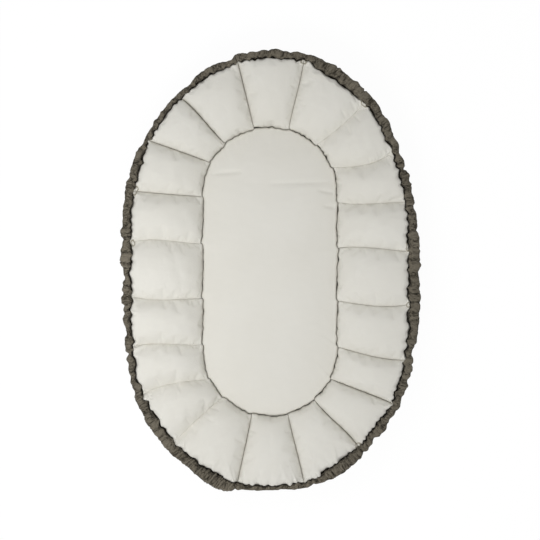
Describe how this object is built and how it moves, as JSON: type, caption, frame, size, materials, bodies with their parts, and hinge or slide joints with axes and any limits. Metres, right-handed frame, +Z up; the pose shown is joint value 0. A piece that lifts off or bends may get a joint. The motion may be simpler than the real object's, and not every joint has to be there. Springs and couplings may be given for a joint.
{
  "type": "infant lounger",
  "caption": "Oval infant lounger: a loose mattress inside a ring of quilted wall cushions, in an outer cover gathered on an elastic round the rim.",
  "frame": {"origin": "on the floor, under the middle of the lounger's outline", "axes": "+Z up, +Y towards the head end, +X to the right as seen from above with the head end up"},
  "size_m": [0.6126, 0.9026, 0.1012],
  "materials": {
    "cream_cotton": "matt plain weave",
    "olive_cotton": "matt washed weave",
    "elastic": "woven elastic",
    "foam": "open-cell foam",
    "zip": "nylon"
  },
  "bodies": {
    "nest": {"base_panel": "olive_cotton", "floor_lining": "olive_cotton", "wall_cushion_01": "cream_cotton", "wall_cushion_02": "cream_cotton", "wall_cushion_03": "cream_cotton", "wall_cushion_04": "cream_cotton", "wall_cushion_05": "cream_cotton", "wall_cushion_06": "cream_cotton", "wall_cushion_07": "cream_cotton", "wall_cushion_08": "cream_cotton", "wall_cushion_09": "cream_cotton", "wall_cushion_10": "cream_cotton", "wall_cushion_11": "cream_cotton", "wall_cushion_12": "cream_cotton", "wall_cushion_13": "cream_cotton", "wall_cushion_14": "cream_cotton", "wall_cushion_15": "cream_cotton", "wall_cushion_16": "cream_cotton", "wall_cushion_17": "cream_cotton", "wall_cushion_18": "cream_cotton", "wall_cushion_19": "cream_cotton", "wall_cushion_20": "cream_cotton", "side_cover": "olive_cotton", "rim_casing": "olive_cotton", "foot_casing": "olive_cotton", "rim_elastic": "elastic"},
    "mattress": {"mattress_cover": "cream_cotton", "mattress_core": "foam", "zip_tape": "zip"},
    "zip_slider": {"zip_slider": "zip"}
  },
  "joints": [
    {"name": "mattress_lift", "type": "slide", "parent": "nest", "child": "mattress", "axis": [0, 0, 1], "range_m": [0, 0.25]},
    {"name": "zip_slide", "type": "slide", "parent": "mattress", "child": "zip_slider", "axis": [-1, 0, 0], "range_m": [0, 0.189]}
  ]
}
